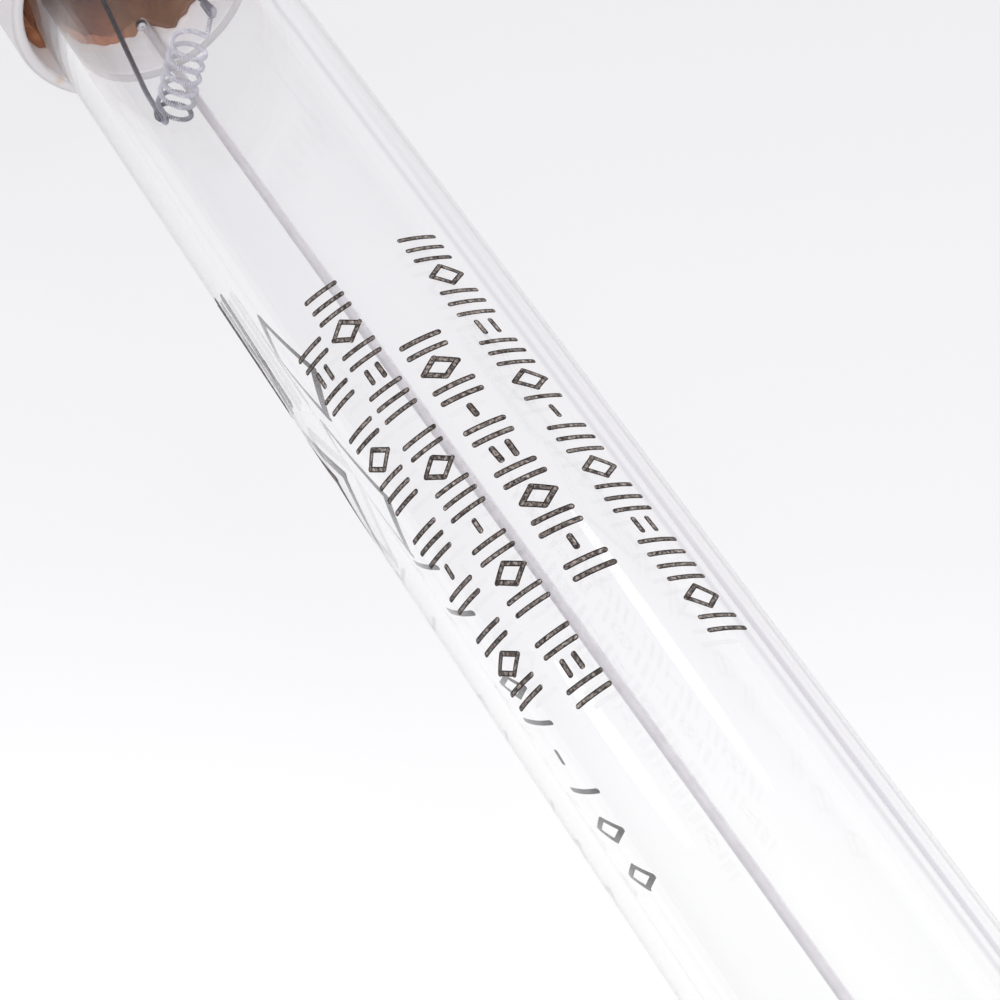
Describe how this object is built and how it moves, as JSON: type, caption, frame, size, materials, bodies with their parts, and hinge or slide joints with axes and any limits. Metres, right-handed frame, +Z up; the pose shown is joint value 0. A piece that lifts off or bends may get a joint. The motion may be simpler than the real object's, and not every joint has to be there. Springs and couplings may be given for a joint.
{
  "type": "uv light bulb",
  "caption": "Straight clear quartz germicidal tube lamp with a white ceramic plug base with pins, a coiled electrode at each end and a bare return wire along the tube.",
  "frame": {"origin": "centre of the base's flat socket face, between the pins", "axes": "+X along the tube away from the pins, +Z up as the lamp lies at rest, with the return wire under the tube"},
  "size_m": [0.2189, 0.0184, 0.0184],
  "materials": {
    "quartz": "clear polished fused quartz",
    "ceramic": "satin white steatite",
    "cement": "rough brown basing cement",
    "plated_brass": "nickel-plated, satin",
    "molybdenum": "dull grey foil",
    "tungsten": "grey coiled wire",
    "nickel": "drawn wire",
    "nickel_wire": "satin bare wire",
    "mercury": "liquid metal bead"
  },
  "bodies": {
    "root": {"quartz_envelope": "quartz", "base_shell": "ceramic", "contact_pin_1": "plated_brass", "contact_pin_2": "plated_brass", "contact_pin_3": "plated_brass", "contact_pin_4": "plated_brass", "base_cement": "cement", "near_inner_lead_1": "nickel", "near_inner_lead_2": "nickel", "near_foil_1": "molybdenum", "near_foil_2": "molybdenum", "near_outer_lead_1": "nickel", "near_outer_lead_2": "nickel", "near_filament": "tungsten", "pin_jumper": "nickel", "return_wire": "nickel_wire", "splice_sleeve": "nickel", "far_inner_lead_1": "nickel", "far_inner_lead_2": "nickel", "far_foil_1": "molybdenum", "far_foil_2": "molybdenum", "far_outer_lead_1": "nickel", "far_outer_lead_2": "nickel", "far_filament": "tungsten", "end_cap": "ceramic", "end_cement": "cement", "mercury_bead": "mercury"}
  },
  "joints": []
}
